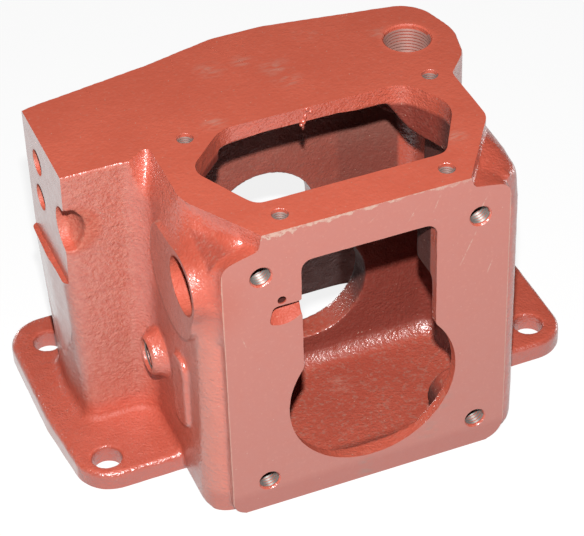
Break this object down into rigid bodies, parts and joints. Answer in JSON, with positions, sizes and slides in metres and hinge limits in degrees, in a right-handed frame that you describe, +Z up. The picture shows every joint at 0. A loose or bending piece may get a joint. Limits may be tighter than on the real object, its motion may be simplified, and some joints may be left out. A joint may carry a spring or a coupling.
{
  "type": "pump drive housing",
  "caption": "Painted cast iron pump drive housing with a keyhole window in its front face, a cover opening on top, shaft bores, side ports and a drilled base flange.",
  "frame": {"origin": "on the shaft axis, in the plane of the machined front face", "axes": "+X to the right seen from the front, +Y from the front face along the shaft axis to the rear, +Z up from the base"},
  "size_m": [0.2955, 0.187, 0.184],
  "materials": {
    "paint": "glossy red oxide paint over a sand cast surface"
  },
  "bodies": {
    "root": {"pump_drive_housing": "paint"}
  },
  "joints": []
}
